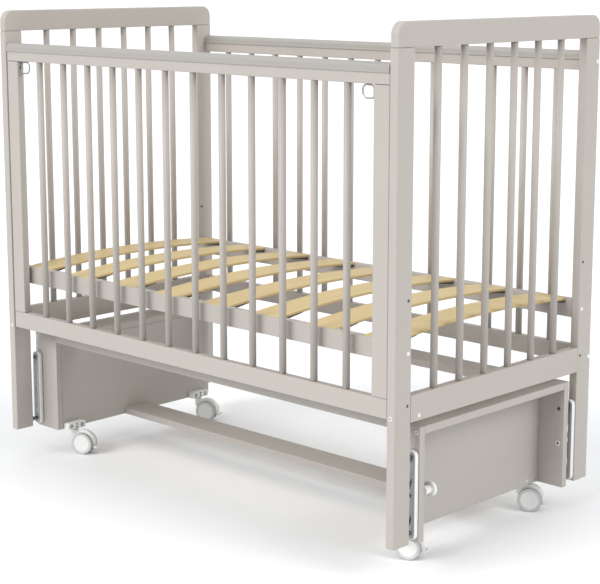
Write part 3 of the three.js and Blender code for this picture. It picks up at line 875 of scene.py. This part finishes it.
def turned(profile, steps):
    """A turned piece about the Z axis from (radius, height) points, or a ring if they close."""
    work = bmesh.new()
    rings = []
    is_ring = profile[0] == profile[-1]
    for radius, height in profile[: len(profile) - is_ring]:
        around = arc((0, 0), radius, 0, 360, steps)[:-1] if radius else [(0, 0)]
        rings.append([work.verts.new((*point, height)) for point in around])
    for lower, upper in zip(rings, rings[1:] + rings[:is_ring]):
        strips(work, lower, upper)
    for ring in () if is_ring else (rings[0], rings[-1]):
        if len(ring) > 1:
            work.faces.new(ring)
    bmesh.ops.recalc_face_normals(work, faces=work.faces)
    for face in work.faces:
        face.smooth = len(face.verts) < 5
    for edge in work.edges:
        if len(edge.link_faces) == 2 and edge.calc_face_angle() > math.radians(32):
            edge.smooth = False
    return as_mesh(work, "turned")


def aimed(mesh, place, towards):
    """The mesh moved to a place, with its Z axis pointing in a direction."""
    turn = Vector(towards).to_track_quat("Z", "Y").to_matrix().to_4x4()
    mesh.transform(Matrix.Translation(place) @ turn)
    return mesh


link_foot, link_head = 0.070, 0.253
link_webs = {-1: -0.265, 1: 0.270}
opening_heights, opening_length, opening_width = (0.1845, 0.1085), 0.030, 0.0070
opening_lean = math.radians(-14)
stud_start, stud_reach, shoulder_reach = 0.001, post_inner_y + 0.018, post_inner_y - 0.0003
shoulder_radius, stud_radius, chamfer = 0.0048, 0.004, 0.0008
black_bolt = plated_steel("blackened bolt", (0.22, 0.22, 0.22), (0.16, 0.16, 0.16), 0.38)
for corner, end_side, long_side in corners:
    node = "link_" + corner
    x = end_side * link_x
    web = link_webs[long_side]
    outlines = [circle(x, height, link_hole) for height in (pivot_height, lock_height)]
    for height in opening_heights:
        lean = opening_lean * end_side
        outlines.append(almond(x, height, opening_length, opening_width, lean))
    cutters = [prism(outline, "y", web - past, web + past) for outline in outlines]
    shell = bored(pan(x, web), *cutters)
    # Marks the web's flat faces, which the finish paints grey: partly painted shade.
    shade = shell.attributes.new("web", "FLOAT", "FACE")
    for face in shell.polygons:
        flat = abs(face.normal.y) > 0.9 and abs(face.center.y - web) < 0.0025
        shade.data[face.index].value = float(flat)
    fit(node + "_pan", shell, white_steel, node, "white_steel", node)

    start = web + stud_start
    length = abs(long_side * stud_reach - start)
    shoulder = abs(long_side * shoulder_reach - start)
    profile = [(0, 0), (shoulder_radius, 0), (shoulder_radius, shoulder)]
    profile += [(stud_radius, shoulder), (stud_radius, length - chamfer)]
    profile += [(stud_radius - chamfer, length), (0, length)]
    stud = aimed(turned(profile, 32), (x, start, stud_height), (0, long_side, 0))
    fit(node + "_stud", stud, black_bolt, node, "zinc_steel")

# Lock knob: a turned white knob on a pin, inside the right front of the stand. On the
# real crib its pin goes on into the link's middle hole, and so stops the swing.
white_plastic = moulded_plastic(
    "white moulded plastic", (0.770, 0.769, 0.758), (0.735, 0.734, 0.723), 0.28
)
knob = [
    (0, 0),
    (0.0036, 0),
    (0.004, 0.0006),
    (0.004, 0.0160),
    (0.0084, 0.0160),
    (0.009, 0.0166),
    (0.009, 0.0340),
    (0.0148, 0.0340),
    (0.0156, 0.0344),
    (0.016, 0.0354),
    (0.016, 0.0394),
    (0.0154, 0.0412),
    (0.0135, 0.0426),
    (0.0095, 0.0436),
    (0.005, 0.0440),
    (0, 0.0440),
]
knob = aimed(turned(knob, 56), (link_x, -0.240, lock_height), (0, 1, 0))
fit("lock_knob_turning", knob, white_plastic, "lock_knob", "white_plastic", "lock_knob")

# Castors: four twin-wheel furniture castors in white plastic. Each has a block under the
# stand, a stem, a hood between the wheels and a foot brake at its trailing end.
stem_x, stem_y, trail = 0.528, 0.208, 0.025
castor_turn = math.radians(25)
axle_height = 0.026769
hood_radius, hood_lift, hood_half = 0.0295, 0.0035, 0.007
brake_arm, brake_lean, lug_radius = 0.0305, math.radians(-14), 0.004
through = 0.02  # half the length of a cutter that goes through a whole castor
ring_plastic = moulded_plastic("pale grey rim", (0.580, 0.582, 0.580), (0.545, 0.547, 0.545), 0.40)
tread_rubber = moulded_plastic("grey tread", (0.380, 0.382, 0.385), (0.350, 0.352, 0.355), 0.55)


def rounded_profile(points, radius):
    """A (radius, height) profile with its inner corners rounded."""
    steps = 4
    result = [points[0]]
    for before, here, after in zip(points, points[1:], points[2:]):
        here, before, after = Vector(here), Vector(before), Vector(after)
        reach = min(radius, (before - here).length * 0.45, (after - here).length * 0.45)
        start = here + (before - here).normalized() * reach
        end = here + (after - here).normalized() * reach
        for t in [k / steps for k in range(steps + 1)]:
            point = start * (1 - t) ** 2 + here * 2 * t * (1 - t) + end * t**2
            result.append((point.x, point.y))
    result.append(points[-1])
    return result


def rod(radius, low, high, steps):
    """A round rod about the Z axis."""
    return turned([(0, low), (radius, low), (radius, high), (0, high)], steps)


def ring_solid(y, z, outer, inner, start, end):
    """A plain ring about an axis along X, between two levels."""
    hole = prism(circle(y, z, inner), "x", min(start, end) - 1, max(start, end) + 1)
    return bored(prism(circle(y, z, outer), "x", start, end), hole)


hood_outline = arc((trail, axle_height + hood_lift), hood_radius, -8, 128, 32)
hood_outline += [
    (trail - 0.0329, axle_height + 0.0313),
    (trail - 0.0329, axle_height + 0.0135),
    (trail - 0.0108, axle_height - 0.0097),
    (trail + 0.0108, axle_height - 0.0108),
    (trail + 0.027, axle_height - 0.0027),
]
plate = bored(
    eased(prism(hood_outline, "y", -hood_half, hood_half), 0.001, 2),
    prism(circle(trail, axle_height, 0.007), "y", -through, through),
)
brake_x = trail + brake_arm * math.cos(brake_lean)
brake_z = axle_height + brake_arm * math.sin(brake_lean)
root_x, root_z = trail + 0.014, axle_height - 0.0035
slant_x, slant_z = math.sin(brake_lean) * lug_radius, math.cos(brake_lean) * lug_radius
lug_outline = [(root_x - slant_x, root_z + slant_z), (root_x + slant_x, root_z - slant_z)]
lug_outline += arc((brake_x, brake_z), lug_radius, -104, 76, 12)
lug = bored(
    eased(prism(lug_outline, "y", -0.0069, 0.0069), 0.0008, 2),
    prism(circle(brake_x, brake_z, 0.0018), "y", -through, through),
)
boss = [(0, 0.0500), (0.009, 0.0500), (0.009, 0.0585), (0, 0.0585)]
hood = united(plate, lug, turned(rounded_profile(boss, 0.0008), 40))
stem = [(0, 0.0575), (0.0048, 0.0575), (0.0048, 0.0725), (0, 0.0725)]
stem = turned(rounded_profile(stem, 0.0008), 32)

rim = [(0.0035, 0.0084), (0.0258, 0.0084), (0.0258, 0.0174), (0.0220, 0.0178)]
rim = rounded_profile(rim + [(0.0213, 0.0168), (0.0035, 0.0168)], 0.0012)
disc = [(0.0, 0.0160), (0.0205, 0.0160), (0.0205, 0.0174), (0.0190, 0.0180)]
disc = rounded_profile(disc + [(0.006, 0.0172), (0.0, 0.0170)], 0.0007)
tyre = [(0.0245, 0.0080), (0.0267, 0.0080), (0.0267, 0.0168), (0.0256, 0.0176)]
tyre = rounded_profile(tyre + [(0.0245, 0.0168)], 0.0012)
tyre.append(tyre[0])
axle_place = (trail, 0, axle_height)
rims, discs, tyres = (
    [aimed(turned(profile, 64), axle_place, (0, side, 0)) for side in (-1, 1)]
    for profile in (rim, disc, tyre)
)
axle = aimed(rod(0.003, -0.0165, 0.0165, 24), axle_place, (0, 1, 0))

tab_end, tab_half = brake_x + 0.0095, 0.0105
cheek = [(tab_end, brake_z - 0.0015), (tab_end, brake_z + 0.0015)]
cheek += arc((brake_x, brake_z), 0.003, 60, 300, 12)
cheeks = [eased(prism(cheek, "y", side * 0.0075, side * tab_half), 0.0005, 2) for side in (-1, 1)]
tab = block(
    (brake_x + 0.0048, -tab_half, brake_z - 0.0014), (tab_end, tab_half, brake_z + 0.0016)
)
axis_pin = aimed(rod(0.0015, -tab_half, tab_half, 16), (brake_x, 0, brake_z), (0, 1, 0))
brake = united(*cheeks, eased(tab, 0.0006, 2), axis_pin)

# The sockets are moulded hollow: two ring recesses with an I-shaped one between them.
# Black rings and an I-shaped plate at the foot of the recesses are painted shade that darkens them.
recess_y, recess_outer, recess_inner, recess_depth = 0.0165, 0.0094, 0.0040, 0.012
shade_plate_gap, shade_plate_top, shade_plate_bottom, core_depth = 0.0002, 0.0012, 0.0045, 0.006
stem_hole, stem_roof = 0.0053, 0.003
core = [(0.0039, 0.0056), (0.0039, 0.0036), (0.0014, 0.0036)]
core += [(a, -b) for a, b in core[::-1]]
core += [(-a, b) for a, b in core[::-1]]
for corner, end_side, long_side in corners:
    node = "castor_socket_" + corner
    low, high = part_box(node)
    middle, across = (low.z + high.z) / 2, long_side * stem_y
    outline = round_corners(low.y, high.y, low.z, high.z, (0.0012, 0.005, 0.005, 0.0012), 6)
    socket = eased(prism(outline, "x", low.x, high.x), 0.001, 2)
    open_face = low.x if end_side > 0 else high.x
    mouth, ring_floor, core_floor, shade_plate_face, shade_plate_floor = (
        open_face + end_side * depth
        for depth in (-past, recess_depth, core_depth, shade_plate_top, shade_plate_bottom)
    )
    ring_middles = (across - recess_y, across + recess_y)
    cutters = [
        ring_solid(y, middle, recess_outer, recess_inner, mouth, ring_floor) for y in ring_middles
    ]
    outline = [(across + a, middle + b) for a, b in core]
    cutters.append(prism(outline, "x", mouth, core_floor))
    stem_outline = circle(end_side * stem_x, across, stem_hole)
    cutters.append(prism(stem_outline, "z", low.z - past, high.z - stem_roof))
    outer, inner = recess_outer - shade_plate_gap, recess_inner + shade_plate_gap
    shade_plates = [ring_solid(y, middle, outer, inner, shade_plate_face, shade_plate_floor) for y in ring_middles]
    outline = [(across + a * 0.94, middle + b * 0.96) for a, b in core]
    shade_plates.append(prism(outline, "x", shade_plate_face, shade_plate_floor))
    # The black plates are painted shade at the foot of the recesses, not parts of the castor.
    fit(node + "_inserts", united(*shade_plates), black_plastic_and_shade, "stand", "white_plastic")
    fit(node + "_block", bored(socket, *cutters), white_plastic, "stand", "white_plastic", node)

    spot = Matrix.Translation((end_side * stem_x, across, 0)) @ Matrix.Rotation(castor_turn, 4, "Z")
    hood_node, wheel_node, brake_node = (
        f"castor_{kind}_{corner}" for kind in ("hood", "wheel", "brake")
    )
    for name, meshes, finish, body, slot, nodes in (
        (hood_node + "_stem", [stem], zinc, "castor_", "zinc_steel", []),
        (hood_node + "_body", [hood], white_plastic, "castor_", "white_plastic", [hood_node]),
        (wheel_node + "_rims", [*rims, axle], ring_plastic, "wheel_", "white_plastic", [wheel_node]),
        (wheel_node + "_discs", discs, white_plastic, "wheel_", "white_plastic", []),
        (wheel_node + "_treads", tyres, tread_rubber, "wheel_", "white_plastic", []),
        (brake_node + "_lever", [brake], white_plastic, "brake_", "white_plastic", [brake_node]),
    ):
        piece = united(*meshes)
        piece.transform(spot)
        fit(name, piece, finish, body + corner, slot, *nodes)

# Pivot bolts: a blackened bolt through each stand board and link, turned with a low head
# that has a hexagonal socket. The back ones have a head at each end, and carry a spacer
# between board and link.
spacer_start, spacer_stop, spacer_radius, bolt_radius = 0.2533, 0.2697, 0.007, 0.004
for corner, end_side, long_side in corners:
    node = "pivot_bolt_" + corner
    low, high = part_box(node)
    length = high.y - low.y
    head = [(0, 0), (0.0042, 0), (0.0052, 0.0012), (0.0052, 0.004), (bolt_radius, 0.004)]
    faces = [(low.y, 1)]
    if long_side < 0:
        profile = [*head, (bolt_radius, length), (0, length)]
    else:
        start, stop = spacer_start - low.y, spacer_stop - low.y
        profile = [*head, (bolt_radius, start), (spacer_radius, start)]
        profile += [(spacer_radius, stop), (bolt_radius, stop)]
        profile += [(a, length - b) for a, b in head[::-1]]
        faces.append((high.y, -1))
    bolt = aimed(turned(profile, 32), (end_side * link_x, low.y, pivot_height), (0, 1, 0))
    key = circle(end_side * link_x, pivot_height, 0.0058, 6)
    keys = [prism(key, "y", face + way * 0.0025, face - way * past) for face, way in faces]
    fit(node + "_screw", bored(bolt, *keys), black_bolt, "stand", "zinc_steel", node)

# Snap caps and screws: white caps over the crib's bolts, countersunk screws in white
# rings in posts and boards, and white bushes in the stand's lock holes.
scatter = Pattern("fasteners on their faces", {"Pattern": "Object", "Finish": "Material"})
facing = scatter.node(
    "GeometryNodeInputNamedAttribute", {"data_type": "FLOAT_VECTOR"}, {"Name": "facing"}
)
turn = scatter.node(
    "FunctionNodeAlignRotationToVector", {"axis": "Z"}, {"Vector": facing["Attribute"]}
)
pattern = scatter.node("GeometryNodeObjectInfo", {}, {"Object": scatter.given["Pattern"]})
placed = scatter.node(
    "GeometryNodeInstanceOnPoints",
    {},
    {
        "Points": scatter.given["Geometry"],
        "Instance": pattern["Geometry"],
        "Rotation": turn["Rotation"],
    },
)
scatter.finish(placed[0])


def fasteners(name, shape, places, finish, body, slot):
    """Copies of one fastener, each at a place and facing a direction."""
    points = bpy.data.meshes.new("places")
    points.from_pydata([place for place, _ in places], [], [])
    direction = points.attributes.new("facing", "FLOAT_VECTOR", "POINT")
    for k, (_, towards) in enumerate(places):
        direction.data[k].vector = towards
    original = new_object("pattern", shape.copy())
    mesh = scatter.mesh({"Pattern": original, "Finish": finish}, points)
    bpy.data.objects.remove(original)
    fit(name, mesh, finish, body, slot)


cap = [(0.0043, -0.0002), (0.0043, 0.0006), (0.0039, 0.0011), (0.0026, 0.0015)]
cap = turned(cap + [(0.0011, 0.0016), (0, 0.0016)], 28)
cap_places = []
for end_side in end_names.values():
    spots = [(side * post_middle_y, 0.455) for side in side_names.values()]
    spots += [(0.323, 0.344), (0.323, 0.990), (-0.257, 0.326)]
    cap_places += [((end_side * 0.620, y, z), (end_side, 0, 0)) for y, z in spots]
fasteners("snap_caps", cap, cap_places, white_plastic, "crib", "white_plastic")

ring = [(0.0026, -0.0004), (0.0046, -0.0004), (0.0046, 0.0005), (0.0040, 0.0010)]
ring = turned(ring + [(0.0031, 0.0010), (0.0026, 0.0004), (0.0026, -0.0004)], 28)
screw = [(0.0027, -0.0009), (0.0027, 0.0), (0.0018, 0.0003), (0.0007, -0.0006)]
screw = turned(screw + [(0, -0.0008)], 20)
bush = [(0.0036, -0.0006), (0.0058, -0.0006), (0.0058, 0.0006), (0.0052, 0.0010)]
bush = turned(bush + [(0.0036, 0.0010), (0.0036, -0.0006)], 32)
dot = [(0.0026, -0.0002), (0.0026, 0.0004), (0.0020, 0.0009), (0.0010, 0.0011)]
dot = turned(dot + [(0, 0.0011)], 20)
post_screws, screws, bushes, dots, dark_screws = [], [], [], [], []
for end_side in end_names.values():
    post_screws.append(((end_side * 0.6095, -0.330, 0.331), (0, -1, 0)))
    for long_side in side_names.values():
        out = (end_side, 0, 0)
        screws.append(((end_side * 0.611, long_side * 0.253, 0.288), (0, long_side, 0)))
        dots.append(((end_side * 0.554, long_side * 0.197, 0.072), out))
        dark_screws.append(((end_side * 0.554, long_side * 0.229, 0.070), out))
        if (end_side, long_side) != (1, -1):
            place = (end_side * link_x, long_side * 0.237, lock_height)
            bushes.append((place, (0, -long_side, 0)))
fasteners("post_screw_rings", ring, post_screws, white_plastic, "crib", "white_plastic")
fasteners("post_screws", screw, post_screws, zinc, "crib", "zinc_steel")
fasteners("screw_rings", ring, screws, white_plastic, "stand", "white_plastic")
fasteners("screws", screw, screws, zinc, "stand", "zinc_steel")
fasteners("lock_hole_bushes", bush, bushes, white_plastic, "stand", "white_plastic")
fasteners("panel_caps", dot, dots, white_plastic, "stand", "white_plastic")
fasteners("panel_screws", screw, dark_screws, black_bolt, "stand", "zinc_steel")

# Floor: a plain white sweep, far wider than the view. It isn't part of the crib.
floor = Finish("white sweep", {"Roughness": 0.6})
sheen = floor.between(floor.noise(0.7, 1), (0.905, 0.917, 0.932), (0.910, 0.922, 0.937))
floor.feed(floor.shader.inputs["Base Color"], sheen)
far = 60
sweep = bpy.data.meshes.new("sweep")
edge = [(-far, -far, 0), (far, -far, 0), (far, far, 0), (-far, far, 0)]
sweep.from_pydata(edge, [], [(0, 1, 2, 3)])
sweep.materials.append(floor.material)
new_object("floor", sweep)
